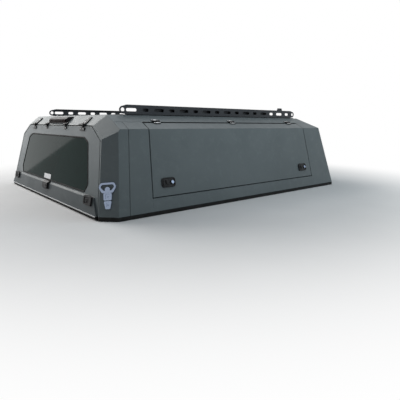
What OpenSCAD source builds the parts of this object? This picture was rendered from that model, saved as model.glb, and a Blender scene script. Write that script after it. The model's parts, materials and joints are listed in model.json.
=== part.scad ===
// Canopy for the bed of a pickup truck, folded from sheet, with three lifting doors.
// X runs to the right, Y forwards and Z up; the gasket's underside lies at Z = 0.

/* [Body] */
// Length of the bottom edge, rear to front
base_l = 1850; // [1800:10:1900]
// Width of the bottom edge
base_w = 1560; // [1540:10:1600]
// Height of the roof above the bottom edge
roof_h = 475; // [465:5:485]
// Height of the long fold between a side and its chamfer
side_h = 404; // [398:2:410]
// Height of the fold between the rear door and the bevel over it
rear_h = 420; // [416:2:426]
// Width of the flat roof
roof_w = 1080; // [1060:10:1100]
// Inward lean of the sides in degrees
side_lean = 14; // [13:0.5:15]
// Forward lean of the rear face in degrees
rear_lean = 9; // [8:0.5:10]
// Rearward lean of the front face in degrees
front_lean = 6; // [5:0.5:7]
// Thickness of the folded sheet
wall = 3; // [2.5:0.5:4]

/* [Rear corner] */
// Width of the rear face at the bottom edge
rear_w = 1424; // [1410:2:1436]
// Width of the rear face at its top fold
rear_top_w = 1046; // [1030:2:1060]
// Run of the rear bevel along the roof
bevel_run = 65; // [60:1:70]
// Run of the front bevel along the roof
nose_run = 89; // [80:1:95]

/* [Doors] */
// Gap round each door
gap = 5; // [5:0.5:7]
// Depth of the returned edges of the openings
jamb_depth = 32; // [28:1:36]
// Depth of the doors' inner frames
frame_depth = 22; // [18:1:26]
// Distance from the rear edge to a side door's rear seam
door_start = 255; // [250:1:265]
// Distance from the rear edge to a side door's front seam
door_end = 1612; // [1590:1:1625]
// Height of a side door's bottom seam
sill_h = 62; // [56:1:70]
// Forward lean of a side door's rear seam in degrees
seam_lean = 5; // [4:0.5:7]

/* [Rack] */
// Distance from the rear edge to the rack's rear fascia
rack_start = 205; // [200:5:220]
// Length of the rack
rack_l = 1490; // [1450:10:1500]
// Width of the rack
rack_w = 1066; // [1050:2:1070]
// Height of the rack's fascias
rack_h = 52; // [48:1:56]
// Number of cross slats
slat_count = 6; // [4:1:8]

/* [Gasket] */
// Thickness of the rubber gasket on the bed rails
gasket_h = 20; // [15:1:25]
// Width of the gasket
gasket_w = 58; // [50:1:64]

/* [Hidden] */
$fn = 32;

big = 3000;
rear_edge = -base_l / 2;
front_edge = base_l / 2;
fold_x = base_w / 2 - side_h * tan(side_lean);
chamfer_el = 90 - atan((roof_h - side_h) / (fold_x - roof_w / 2));
bevel_el = 90 - atan((roof_h - rear_h) / bevel_run);
nose_el = 90 - atan((roof_h - side_h) / nose_run);
corner_az = -45;
corner_el = 15;
brow_az = -63;
brow_el = 42;
hinge_z = (side_h + roof_h) / 2;
bevel_y = rear_y(rear_h) + bevel_run;
module_seam = 126;
seam_w = 3;
tongue_d = 1.5;
door_margin = 8;
brow_margin = 10;
outline_tilt = 13;
outline_brow = 59.5;
header_az = 14.7;
fold_lap = 5;
flange_w = 20;
hinge_flange_w = 8;
sweep_r = 48;

// Each face of the body: a point on it, its azimuth and its elevation
LONG_FACES = [
    [[base_w / 2, 0, 0], 0, side_lean],
    [[-base_w / 2, 0, 0], 180, side_lean],
    [[fold_x, 0, side_h], 0, chamfer_el],
    [[-fold_x, 0, side_h], 180, chamfer_el],
    [[0, 0, roof_h], 0, 90],
    [[0, rear_edge, 0], -90, rear_lean],
    [[0, rear_y(rear_h), rear_h], -90, bevel_el],
    [[rear_w / 2, rear_edge, 0], corner_az, corner_el],
    [[-rear_w / 2, rear_edge, 0], 180 - corner_az, corner_el],
    [[rear_top_w / 2, rear_y(rear_h), rear_h], brow_az, brow_el],
    [[-rear_top_w / 2, rear_y(rear_h), rear_h], 180 - brow_az, brow_el]
];
FRONT_FACES = [
    [[0, front_edge, 0], 90, front_lean],
    [[0, front_y(side_h), side_h], 90, nose_el]
];

// Hinges: places along X on the rear door and along Y on a side door
rear_hinge_x = [-397, 397];
lamp_hinge_x = [-157, 157];
side_hinge_y = [for (y = [380, 945, 1515]) rear_edge + y];
side_latch_y = [for (y = [366, 1511]) rear_edge + y];
side_latch_z = 132;
rear_axis_y = rear_y(rear_h) - 8;
rear_axis_z = rear_h + 3;
side_axis_x = chamfer_x(hinge_z) + 4;
side_axis_z = hinge_z + 5;
pin_r = 2.5;
pin_clearance = 0.4;
side_hinge_w = 42;

// Holes for the clamp bolts through the base rails
clamp_y = [-750, -250, 250, 750];
clamp_r = 5.5;
base_plate = 4;
base_lip = 30;
base_flange = 52;

// Rear door
glass_outline = [[-520, 90], [520, 90], [550, 130], [486, 334], [434, 357],
                 [-434, 357], [-486, 334], [-550, 130]];
ledge_z = 82;
ledge_slope = 9;
rail_proud = 9;
rail_end_tilt = 35;
rear_latch_x = 600;
rear_latch_z = 59;
// Thickness of the film of sealant under a fitting
film = 0.03;

function rear_y(z) = rear_edge + z * tan(rear_lean);
function front_y(z) = front_edge - z * tan(front_lean);
function side_x(z) = base_w / 2 - z * tan(side_lean);
function chamfer_x(z) = fold_x - (z - side_h) * (fold_x - roof_w / 2) / (roof_h - side_h);
function unit(v) = v / norm(v);
function turned(v, a) = [v.x * cos(a) - v.y * sin(a), v.x * sin(a) + v.y * cos(a)];

// A convex outline, counterclockwise, with every corner rounded by radius r
function rounded(pts, r, n = 5) = [
    for (i = [0:len(pts) - 1])
        let (p = pts[i],
             a = unit(pts[(i + len(pts) - 1) % len(pts)] - p),
             b = unit(pts[(i + 1) % len(pts)] - p),
             half = acos(a * b) / 2,
             c = p + unit(a + b) * r / sin(half),
             u = p + a * r / tan(half) - c)
        for (k = [0:n]) c + turned(u, (180 - 2 * half) * k / n)
];
function oblong(w, h) = [[-w / 2, -h / 2], [w / 2, -h / 2], [w / 2, h / 2], [-w / 2, h / 2]];

// Everything on the inner side of the plane through a point with that azimuth and elevation
module behind(at, az, el, inset = 0)
    translate(at) rotate([0, -el, az])
        translate([-big - inset, -big / 2, -big / 2]) cube(big);

// The inner side of the faces in a list, all moved in by inset
module inside(faces, inset)
    intersection_for(f = faces) behind(f[0], f[1], f[2], inset);

module envelope(inset) inside(concat(LONG_FACES, FRONT_FACES), inset);

module above(z) translate([-big / 2, -big / 2, z]) cube(big);
module below(z) translate([-big / 2, -big / 2, z - big]) cube(big);
module right_of(x) translate([x, -big / 2, -big / 2]) cube(big);

// Rearward or forward of a plane across the body that leans forward going up
module rearward(y, lean = 0) behind([0, y, 0], 90, -lean);
module forward(y, lean = 0) behind([0, y, 0], -90, lean);

module layer(outer, inner)
    difference() {
        intersection() {
            envelope(outer);
            above(0);
        }
        envelope(inner);
    }

// The folded sheet of all faces but the front ones, up to the front wall's inner side
module sheet()
    difference() {
        intersection() {
            inside(LONG_FACES, 0);
            inside(FRONT_FACES, wall);
            above(0);
        }
        inside(LONG_FACES, wall);
    }

module on_gasket() translate([0, 0, gasket_h]) children();
module left() mirror([1, 0, 0]) children();
module both_sides() {
    children();
    mirror([1, 0, 0]) children();
}

// A frame on a face: X along it, Y up it and Z out of it
module on_face(at, az, el)
    translate(at) rotate([0, 0, az]) rotate([0, -el, 0]) rotate([90, 0, 90]) children();

module prism_x(pts, x0, x1)
    translate([x0, 0, 0]) rotate([90, 0, 90]) linear_extrude(x1 - x0) polygon(pts);

module prism_y(pts, y0, y1)
    translate([0, y1, 0]) rotate([90, 0, 0]) linear_extrude(y1 - y0) polygon(pts);

// The rear opening, narrowed by inset
module rear_doorway(inset)
    intersection() {
        between_edges(inset + door_margin);
        behind([0, 0, rear_h], 0, 90, inset);
        rearward(rear_edge + 130, rear_lean);
    }

module between_edges(margin)
    intersection() {
        inward_of_edge(0, 1, margin);
        inward_of_edge(180, -1, margin);
    }

module inward_of_edge(az, s, margin)
    intersection() {
        behind([s * rear_w / 2, 0, 0], az, outline_tilt, margin);
        behind([s * rear_top_w / 2, 0, rear_h], az, outline_brow, margin - door_margin + brow_margin);
    }

// A side door's opening, narrowed by inset
module side_doorway(inset) {
    y0 = rear_edge + door_start + inset;
    y1 = rear_edge + door_end - inset;
    z0 = sill_h + inset;
    z1 = hinge_z - inset;
    prism_x([[y0 + z0 * tan(seam_lean), z0], [y1, z0], [y1, z1],
             [y0 + z1 * tan(seam_lean), z1]], 100, big / 2);
}

// Body
module roof_panel()
    color("dimgray") on_gasket() intersection() {
        sheet();
        above(hinge_z);
        forward(bevel_y + fold_lap);
    }

module rear_header()
    color("silver") on_gasket() difference() {
        intersection() {
            sheet();
            rearward(bevel_y + fold_lap);
            header_span(1);
            header_span(-1);
        }
        rear_doorway(0);
    }

// Inward of the upright plane beside the fold between the bevel and a corner
module header_span(s)
    behind([s * (rear_top_w / 2 - fold_lap), rear_y(rear_h), 0],
           s > 0 ? -header_az : 180 + header_az, 0);

// The corner's own sheet, and a tongue that closes the seam to the next module from behind
module rear_corner()
    color("slategray") on_gasket() difference() {
        union() {
            intersection() {
                sheet();
                right_of(0);
                rearward(rear_edge + module_seam - seam_w / 2, rear_lean - 2);
            }
            intersection() {
                layer(tongue_d, wall + tongue_d);
                right_of(0);
                forward(rear_edge + module_seam - 3 * seam_w, rear_lean - 2);
                rearward(rear_edge + module_seam + seam_w / 2 - 0.2, rear_lean - 2);
                above(base_plate + 1);
                below(hinge_z - 4);
            }
        }
        header_span(1);
        intersection() {
            above(hinge_z);
            forward(bevel_y + fold_lap);
        }
        rear_doorway(0);
    }

module side_rear()
    color("darkslategray") on_gasket() intersection() {
        sheet();
        right_of(0);
        below(hinge_z);
        forward(rear_edge + module_seam + seam_w / 2, rear_lean - 2);
        rearward(rear_edge + door_start, seam_lean);
    }

module sill()
    color("darkslategray") on_gasket() intersection() {
        sheet();
        right_of(0);
        below(sill_h);
        forward(rear_edge + door_start, seam_lean);
        rearward(rear_edge + door_end);
    }

module side_front()
    color("darkslategray") on_gasket() intersection() {
        sheet();
        right_of(0);
        below(hinge_z);
        forward(rear_edge + door_end);
    }

window_outline = rounded([[-470, 110], [470, 110], [430, 330], [-430, 330]], 30);

module front_wall()
    color("dimgray") on_gasket() difference() {
        intersection() {
            envelope(0);
            above(0);
        }
        inside(FRONT_FACES, wall);
        prism_y(window_outline, 0, base_l);
    }

module front_window()
    color("darkcyan") on_gasket() intersection() {
        layer(0.5, 5.5);
        prism_y(window_outline, 0, base_l);
    }

// Returned edges of the rear opening, with a flange behind the door
module rear_door_jamb()
    color("dimgray") on_gasket() difference() {
        intersection() {
            layer(wall, jamb_depth);
            rear_doorway(-wall);
            rearward(rear_edge + jamb_depth + 12, rear_lean);
        }
        difference() {
            rear_doorway(0);
            envelope(jamb_depth - wall);
        }
        rear_doorway(flange_w);
    }

// Returned edges of a side opening, with a flange behind the door that makes room for the
// door's upper edge as it swings
module door_jamb()
    color("dimgray") on_gasket() difference() {
        intersection() {
            layer(wall, jamb_depth);
            side_doorway(-wall);
        }
        difference() {
            side_doorway(0);
            envelope(jamb_depth - wall);
        }
        for (up = [0, flange_w - hinge_flange_w]) translate([0, 0, up]) side_doorway(flange_w);
        intersection() {
            side_doorway(0);
            translate([side_axis_x, 0, side_axis_z]) rotate([90, 0, 0])
                cylinder(r = sweep_r, h = 2 * base_l, center = true);
        }
    }

// Section of the angle along the foot: a flange inwards and a lip standing on its inner edge
base_angle = [[-base_flange, 0], [0, 0], [0, base_plate], [base_plate - base_flange, base_plate],
              [base_plate - base_flange, base_lip], [-base_flange, base_lip]];

module base_rail()
    color("black") on_gasket() difference() {
        intersection() {
            envelope(wall);
            translate([base_w / 2, 0, 0]) prism_y(base_angle, rear_edge, front_edge);
        }
        clamp_holes();
    }

module clamp_holes()
    for (y = clamp_y) translate([base_w / 2 - 28, y, 0])
        cylinder(r = clamp_r, h = 100, center = true);

module front_base_rail()
    color("black") on_gasket() intersection() {
        envelope(wall);
        translate([0, front_edge, 0])
            prism_x(base_angle, base_flange - base_w / 2, base_w / 2 - base_flange);
    }

module gasket()
    color("black") difference() {
        linear_extrude(gasket_h) polygon([
            [base_w / 2, rear_edge + (base_w - rear_w) / 2], [base_w / 2, front_edge],
            [base_w / 2 - gasket_w, front_edge], [base_w / 2 - gasket_w, rear_edge + gasket_w],
            [rear_w / 2 - door_margin, rear_edge + gasket_w],
            [rear_w / 2 - door_margin, rear_edge], [rear_w / 2, rear_edge]
        ]);
        clamp_holes();
    }

module front_gasket()
    color("black")
        translate([-base_w / 2 + gasket_w, front_edge - gasket_w, 0])
            cube([base_w - 2 * gasket_w, gasket_w, gasket_h]);

// Roof rack
rack_plate = 3;
flange_d = 22;
foot_h = 4;
rack_base = roof_h + foot_h;
eye_r = 11;
eye_z = 25;
lug_r = 20;
shoulder = 46;
first_slot = 40;
web_start = -617;
web_end = 445;
cleat_y = 583;

module slot_cut(x, z, length, height)
    translate([x, 0, z]) rotate([90, 0, 0]) linear_extrude(4 * rack_plate, center = true) {
        square([length - height, height], center = true);
        for (s = [-1, 1]) translate([s * (length - height) / 2, 0]) circle(height / 2);
    }

// Outline of a plate whose ends narrow to a round lug
module lugged(length) {
    body = length - 2 * shoulder;
    translate([-body / 2, 0]) square([body, rack_h]);
    for (s = [-1, 1]) hull() {
        translate([s * (length / 2 - lug_r), eye_z]) circle(lug_r);
        translate([s * body / 2 - 0.5, 0]) square([1, rack_h]);
    }
}

// A slotted fascia along X, standing on its lower edge, with its face towards -Y
module fascia(length, pitch, big_slot, small_slot, slot_h, slot_z, boxed) {
    body = length - 2 * shoulder;
    small_x = big_slot + (pitch - big_slot) / 2;
    difference() {
        union() {
            translate([0, rack_plate, 0]) rotate([90, 0, 0]) linear_extrude(rack_plate) lugged(length);
            for (z = [0, rack_h - rack_plate])
                translate([-body / 2, 0, z]) cube([body, flange_d, rack_plate]);
            if (boxed)
                translate([web_start, flange_d - rack_plate, 0])
                    cube([web_end - web_start, rack_plate, rack_h]);
        }
        for (x = [first_slot - length / 2 : pitch : length / 2 - first_slot - small_x]) {
            slot_cut(x + big_slot / 2, slot_z, big_slot, slot_h);
            slot_cut(x + small_x, slot_z, small_slot, slot_h);
        }
        for (s = [-1, 1])
            translate([s * (length / 2 - lug_r), 0, eye_z]) rotate([90, 0, 0])
                cylinder(r = eye_r, h = 4 * rack_plate, center = true);
    }
}

// A tie-down cleat on the top of a side rail
module cleat()
    translate([cleat_y, 16, rack_h - 1]) rotate([90, 0, 0]) linear_extrude(12) difference() {
        polygon(rounded([[-24, 0], [24, 0], [17, 18], [-17, 18]], 4));
        translate([0, 9]) circle(4.5);
    }

module rack_side_rail()
    color("black") on_gasket()
        translate([rack_w / 2, rear_edge + rack_start + rack_l / 2, rack_base])
            rotate([0, 0, 90]) {
                fascia(rack_l, 177, 64, 38, 18, eye_z, true);
                cleat();
            }

module rack_end_fascia()
    color("black") translate([0, 0, rack_base])
        fascia(rack_w - 2 * rack_plate, 345, 150, 85, 22, 21, false);

module rack_rear_fascia()
    on_gasket() translate([0, rear_edge + rack_start, 0]) rack_end_fascia();

module rack_front_fascia()
    on_gasket() translate([0, rear_edge + rack_start + rack_l, 0]) rotate([0, 0, 180])
        rack_end_fascia();

// Slats folded to a low hat section
module rack_slats()
    color("black") on_gasket()
        for (i = [1:slat_count])
            translate([0, rear_edge + rack_start + i * rack_l / (slat_count + 1), rack_base + rack_plate])
                prism_x([[-35, 0], [-31, 0], [-22, 9], [22, 9], [31, 0], [35, 0], [35, 3],
                         [24, 12], [-24, 12], [-35, 3]],
                        flange_d - rack_w / 2, rack_w / 2 - flange_d);

// Foot plates: one under each corner of the rack and two under each side rail
module rack_feet()
    color("black") on_gasket() both_sides() {
        for (y = [rack_start + 2, rack_start + rack_l - 78])
            foot(70, 76, y);
        for (share = [0.36, 0.64])
            foot(40, 60, rack_start + share * rack_l - 30);
    }

module foot(width, length, y)
    translate([rack_w / 2 - 2 - width / 2, rear_edge + y + length / 2, roof_h])
        linear_extrude(foot_h) polygon(rounded(oblong(width, length), 8));

// Lamp over the rear door
module on_bevel(x, up) {
    y = rear_y(rear_h) + up * cos(atan((roof_h - rear_h) / bevel_run));
    z = rear_h + up * sin(atan((roof_h - rear_h) / bevel_run));
    on_face([x, y, z], -90, bevel_el) children();
}

function bevel_at(z) = rear_y(rear_h) + (z - rear_h) * bevel_run / (roof_h - rear_h);

// The lamp fills the corner between the bevel and an upright front
lamp_w = 280;
lamp_y = bevel_at(rear_h + 10) - 4;

module brake_lamp_housing()
    color("black") on_gasket()
        prism_x([[bevel_at(rear_h + 10), rear_h + 10], [lamp_y, rear_h + 11], [lamp_y, rear_h + 36],
                 [lamp_y + 12, rear_h + 45], [bevel_at(rear_h + 49), rear_h + 49]],
                -lamp_w / 2, lamp_w / 2);

module brake_lamp_lens()
    color("maroon") on_gasket()
        prism_x([[lamp_y, rear_h + 13], [lamp_y - 4, rear_h + 14], [lamp_y - 5, rear_h + 32],
                 [lamp_y, rear_h + 34]], 8 - lamp_w / 2, lamp_w / 2 - 8);

// Knuckles along X round a hinge axis, every second one, with or without its pin
module knuckles(width, count, first, r, with_pin) {
    step = width / count;
    difference() {
        for (i = [first : 2 : count - 1])
            translate([-width / 2 + i * step + 0.5, 0, 0]) rotate([0, 90, 0])
                cylinder(r = r, h = step - 1);
        if (!with_pin)
            rotate([0, 90, 0]) cylinder(r = pin_r + pin_clearance, h = width + 2, center = true);
    }
    if (with_pin) rotate([0, 90, 0]) cylinder(r = pin_r, h = width, center = true);
}

module at_rear_axis(x) translate([x, rear_axis_y, rear_axis_z]) children();

module rear_hinge_arms()
    color("black") on_gasket() {
        for (x = rear_hinge_x) rear_arm(x, 54, 56);
        for (x = lamp_hinge_x) rear_arm(x, 30, 14);
    }

// A fixed arm up the bevel, with the outer knuckles and the pin
module rear_arm(x, width, reach) {
    at_rear_axis(x) knuckles(width, 3, 0, 6.5, true);
    for (s = [-1, 1])
        on_bevel(x + s * width / 3, 0)
            translate([-width / 6 + 1, 0, 0]) cube([width / 3 - 2, 12, 8]);
    on_bevel(x, 0) translate([0, 7, 0]) linear_extrude(6)
        polygon([[-width / 2, 0], [width / 2, 0], [width / 5, reach], [-width / 5, reach]]);
}

module rear_door_hinges()
    color("black") on_gasket() {
        for (x = rear_hinge_x) rear_leaf(x, 54, 21);
        for (x = lamp_hinge_x) rear_leaf(x, 30, 16);
    }

// A leaf on the door's face, with the middle knuckle
module rear_leaf(x, width, drop) {
    at_rear_axis(x) knuckles(width, 3, 1, 6.5, false);
    on_face([x, rear_y(rear_h - 8), rear_h - 8], -90, rear_lean) {
        translate([-width / 6 + 1, -4, 0]) cube([width / 3 - 2, 8, 6]);
        translate([-width / 2, -drop, 0]) cube([width, drop - 3, 5]);
    }
}

// Hinges of the side doors
module at_side_axis(y) translate([side_axis_x, y, side_axis_z]) rotate([0, 0, 90]) children();

module side_hinges(fixed)
    color("black") on_gasket()
        for (y = side_hinge_y) {
            step = side_hinge_w / 3;
            at_side_axis(y) knuckles(side_hinge_w, 3, fixed ? 0 : 1, 5, fixed);
            on_face([chamfer_x(hinge_z), y, hinge_z], 0, chamfer_el) {
                translate([0, fixed ? 15 : -15, 0])
                    linear_extrude(4) polygon(rounded(oblong(side_hinge_w, 14), 2, 2));
                for (i = fixed ? [-1, 1] : [0])
                    translate([i * step - step / 2 + 1, fixed ? 1 : -9, 0]) cube([step - 2, 8, 3]);
            }
        }

// Bottle opener on the rear right corner
module on_corner(up)
    on_face([rear_w / 2 + 34, rear_edge + 34, 0], corner_az, corner_el)
        translate([-2, 0, 0]) rotate(5.5) translate([0, up, 0]) children();

// A tapered plate with a shallow rectangular pocket
module pocketed(outline, pocket)
    difference() {
        linear_extrude(8) polygon(rounded(outline, 6));
        translate([0, 0, 6]) linear_extrude(4) polygon(rounded(pocket, 2));
    }

module opener_body()
    color("lightsteelblue") on_gasket() {
        on_corner(95) pocketed([[-19, -17], [19, -17], [20, 17], [-20, 17]], oblong(22, 22));
        on_corner(57) pocketed([[-11, -19], [11, -19], [19, 18], [-19, 18]], oblong(12, 20));
    }

// A kidney-shaped ring with a round tooth standing in it
module opener_loop()
    color("lightsteelblue") on_gasket() on_corner(136) {
        difference() {
            linear_extrude(9) polygon(rounded([[-26, -24], [26, -24], [42, 3], [33, 24],
                                               [-33, 24], [-42, 3]], 13));
            translate([0, 0, -1]) linear_extrude(11)
                polygon(rounded([[-18, -13], [18, -13], [33, 4], [26, 15], [-26, 15], [-33, 4]], 7));
        }
        translate([0, -8, 0]) cylinder(r = 12, h = 9);
    }

// Rear door
module door_layer(outer, inner, inset)
    intersection() {
        layer(outer, inner);
        rear_doorway(inset);
    }

module rear_door_skin()
    color("gray") on_gasket() difference() {
        door_layer(0, wall, gap);
        prism_y(glass_outline, rear_edge - 50, rear_edge + 200);
    }

module rear_door_frame()
    color("dimgray") on_gasket() difference() {
        door_layer(wall, frame_depth, gap);
        intersection() {
            rear_doorway(gap + 26);
            above(30);
        }
    }

module rear_door_glass()
    color("darkgreen") on_gasket() intersection() {
        layer(0.5, 5.5);
        prism_y(glass_outline, rear_edge - 50, rear_edge + 200);
    }

// The box section across the foot of the rear door, shrunk by inset and open to the door
module rail_section(inset) {
    face = inset - rail_proud;
    top = ledge_z - inset;
    back = inset > 0 ? 5 : 0;
    prism_x([[rear_y(inset) + back, inset], [rear_y(inset) + face, inset],
             [rear_y(top - ledge_slope) + face, top - ledge_slope], [rear_y(top), top],
             [rear_y(top) + back, top]], -base_w / 2, base_w / 2);
}

// Between the slanting ends of the rail
module rail_span(inset)
    intersection() {
        between_edges(gap + door_margin + inset);
        behind([rear_w / 2 - gap - door_margin, 0, 0], 0, rail_end_tilt, inset);
        behind([gap + door_margin - rear_w / 2, 0, 0], 180, rail_end_tilt, inset);
    }

module rear_door_rail()
    color("gray") on_gasket() intersection() {
        difference() {
            rail_section(0);
            intersection() {
                rail_section(wall);
                rail_span(wall);
            }
        }
        rail_span(0);
    }

module rear_door_seal()
    color("black") on_gasket()
        translate([0, rear_edge, -13])
            prism_x([[-rail_proud + 2, 0], [8, 0], [12, 13], [-rail_proud, 13]],
                    -rear_w / 2 + 24, rear_w / 2 - 24);

// A fitting that stands on the door's face at x, z and fits round the rail
module on_rear_rail(x, z)
    difference() {
        on_face([x, rear_y(z) - film, z], -90, rear_lean) children();
        rail_section(0);
    }

module rear_door_latches()
    color("black") on_gasket() both_sides() on_rear_rail(rear_latch_x, rear_latch_z)
        difference() {
            linear_extrude(rail_proud + 9) polygon(rounded(oblong(84, 44), 9));
            translate([-8, 0, rail_proud + 4]) linear_extrude(9) polygon(rounded(oblong(52, 30), 6));
        }

module rear_door_handle()
    color("black") on_gasket() on_rear_rail(0, 62)
        rotate([90, 0, 90]) translate([0, 0, -40]) linear_extrude(80)
            polygon([[-24, 0], [-24, rail_proud + 6], [-18, rail_proud + 13],
                     [12, rail_proud + 13], [24, rail_proud], [24, 0]]);

// Side doors
module side_door_skin()
    color("darkslategray") on_gasket() intersection() {
        layer(0, wall);
        side_doorway(gap);
    }

module side_door_frame()
    color("dimgray") on_gasket() difference() {
        intersection() {
            layer(wall, frame_depth);
            side_doorway(gap);
        }
        side_doorway(gap + 3);
    }

// A rimmed plate with a finger pull at its rear end and a lock at its front end
module side_door_latches()
    color("black") on_gasket()
        for (y = side_latch_y) on_face([side_x(side_latch_z), y, side_latch_z], 0, side_lean) {
            difference() {
                linear_extrude(6) polygon(rounded(oblong(82, 50), 14));
                translate([0, 0, 3]) linear_extrude(6) polygon(rounded(oblong(74, 42), 10));
            }
            translate([-17, 0, 2]) difference() {
                linear_extrude(5) polygon(rounded(oblong(34, 34), 8));
                translate([-6, 0, 2]) linear_extrude(6) polygon(rounded(oblong(11, 24), 5));
            }
            translate([21, 0, 2]) cylinder(r = 10, h = 5);
        }

roof_panel();
rear_header();
rear_corner();  // rear_right_corner
left() rear_corner();  // rear_left_corner
side_rear();  // right_side_rear
sill();  // right_sill
side_front();  // right_side_front
left() side_rear();  // left_side_rear
left() sill();  // left_sill
left() side_front();  // left_side_front
front_wall();
front_window();
rear_door_jamb();
door_jamb();  // right_door_jamb
left() door_jamb();  // left_door_jamb
base_rail();  // right_base_rail
left() base_rail();  // left_base_rail
front_base_rail();
gasket();  // right_gasket
left() gasket();  // left_gasket
front_gasket();
rack_side_rail();  // rack_right_rail
left() rack_side_rail();  // rack_left_rail
rack_rear_fascia();
rack_front_fascia();
rack_slats();
rack_feet();
brake_lamp_housing();
brake_lamp_lens();
rear_hinge_arms();
side_hinges(true);  // right_hinge_leaves
left() side_hinges(true);  // left_hinge_leaves
opener_body();
opener_loop();
rear_door_skin();
rear_door_frame();
rear_door_glass();
rear_door_rail();
rear_door_seal();
rear_door_hinges();
rear_door_latches();
rear_door_handle();
side_door_skin();  // right_door_skin
side_door_frame();  // right_door_frame
side_hinges(false);  // right_door_hinges
side_door_latches();  // right_door_latches
left() side_door_skin();  // left_door_skin
left() side_door_frame();  // left_door_frame
left() side_hinges(false);  // left_door_hinges
left() side_door_latches();  // left_door_latches
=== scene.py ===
"""Looks of the pickup truck canopy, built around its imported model."""
import json
import math

import bmesh
import bpy
from mathutils import Matrix, Vector


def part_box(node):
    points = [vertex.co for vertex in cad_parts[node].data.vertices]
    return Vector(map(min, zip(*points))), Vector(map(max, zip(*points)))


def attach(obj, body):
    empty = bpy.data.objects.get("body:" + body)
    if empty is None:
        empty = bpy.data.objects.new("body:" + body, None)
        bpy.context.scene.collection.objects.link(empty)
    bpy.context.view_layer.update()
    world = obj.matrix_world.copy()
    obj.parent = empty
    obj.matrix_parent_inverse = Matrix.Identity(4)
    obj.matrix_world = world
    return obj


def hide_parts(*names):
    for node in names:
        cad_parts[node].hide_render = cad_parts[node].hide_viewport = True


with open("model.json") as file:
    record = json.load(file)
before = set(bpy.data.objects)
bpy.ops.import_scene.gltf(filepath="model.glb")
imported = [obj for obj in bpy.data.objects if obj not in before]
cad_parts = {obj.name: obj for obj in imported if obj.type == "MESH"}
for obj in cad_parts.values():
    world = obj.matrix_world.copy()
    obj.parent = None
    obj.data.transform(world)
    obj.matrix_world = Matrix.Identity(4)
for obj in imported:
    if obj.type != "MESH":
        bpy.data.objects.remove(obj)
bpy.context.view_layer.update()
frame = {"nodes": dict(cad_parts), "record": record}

SHELL, REAR, RIGHT, LEFT = "shell", "rear_door", "right_door", "left_door"
MM = 0.001

# The photograph's camera: the picture's width, the focal length and the row of the lens's axis in
# pixels, the angles in degrees, the place in metres and the sensor's width in millimetres
PICTURE = 400
FOCAL = 383.9
AXIS_ROW = 150.0
YAW, PITCH, ROLL = 50.0, 4.0, 0.35
CAMERA_AT = Vector((2.343, -1.688, 0.455))
SENSOR = 36.0

# The body's faces, from the boxes of its nodes, with the heights and leans of the source
BASE_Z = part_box("right_gasket")[1].z
HALF_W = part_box("right_sill")[1].x
REAR_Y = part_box("rear_right_corner")[0].y
FRONT_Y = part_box("front_wall")[1].y
ROOF_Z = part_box("roof_panel")[1].z
SIDE_LEAN, REAR_LEAN, FRONT_LEAN, SEAM_LEAN = 14.0, 9.0, 6.0, 5.0
SIDE_FOLD_Z = BASE_Z + 404 * MM
REAR_FOLD_Z = BASE_Z + 420 * MM
FOLD_X = HALF_W - (SIDE_FOLD_Z - BASE_Z) * math.tan(math.radians(SIDE_LEAN))
ROOF_HALF_W = 540 * MM
CHAMFER_RUN = (FOLD_X - ROOF_HALF_W) / (ROOF_Z - SIDE_FOLD_Z)
CHAMFER_EL = math.degrees(math.atan(CHAMFER_RUN))
HINGE_Z = (SIDE_FOLD_Z + ROOF_Z) / 2
BEVEL_RUN = 65 * MM
BEVEL_EL = math.degrees(math.atan(BEVEL_RUN / (ROOF_Z - REAR_FOLD_Z)))


# ---------------------------------------------------------------- materials
def node_setup(name):
    """A new material with its node tree, its Principled shader and an object-space coordinate."""
    mat = bpy.data.materials.new(name)
    mat.use_nodes = True
    tree = mat.node_tree
    shader = tree.nodes["Principled BSDF"]
    coord = tree.nodes.new("ShaderNodeTexCoord")
    return mat, tree, shader, coord.outputs["Object"]


def noise(tree, coord, scale, detail=3.0, rough=0.5):
    """The grey value of a noise texture."""
    tex = tree.nodes.new("ShaderNodeTexNoise")
    tex.inputs["Scale"].default_value = scale
    tex.inputs["Detail"].default_value = detail
    tex.inputs["Roughness"].default_value = rough
    tree.links.new(coord, tex.inputs["Vector"])
    return tex.outputs["Fac"]


def spread(tree, value, low, high, start=0.3, end=0.7):
    """The values from start to end spread over low to high."""
    node = tree.nodes.new("ShaderNodeMapRange")
    node.inputs["From Min"].default_value = start
    node.inputs["From Max"].default_value = end
    node.inputs["To Min"].default_value = low
    node.inputs["To Max"].default_value = high
    tree.links.new(value, node.inputs["Value"])
    return node.outputs["Result"]


def two_tone(tree, value, dark, light):
    """A colour from dark at 0 to light at 1."""
    node = tree.nodes.new("ShaderNodeMix")
    node.data_type = "RGBA"
    node.inputs["A"].default_value = (*dark, 1)
    node.inputs["B"].default_value = (*light, 1)
    tree.links.new(value, node.inputs["Factor"])
    return node.outputs["Result"]


def bump(tree, shader, value, strength, distance, edge=0.0):
    """Bump from a value, over edges that look rounded by the radius edge."""
    node = tree.nodes.new("ShaderNodeBump")
    node.inputs["Strength"].default_value = strength
    node.inputs["Distance"].default_value = distance
    tree.links.new(value, node.inputs["Height"])
    if edge:
        rounding = tree.nodes.new("ShaderNodeBevel")
        rounding.inputs["Radius"].default_value = edge
        tree.links.new(rounding.outputs["Normal"], node.inputs["Normal"])
    tree.links.new(node.outputs["Normal"], shader.inputs["Normal"])


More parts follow.
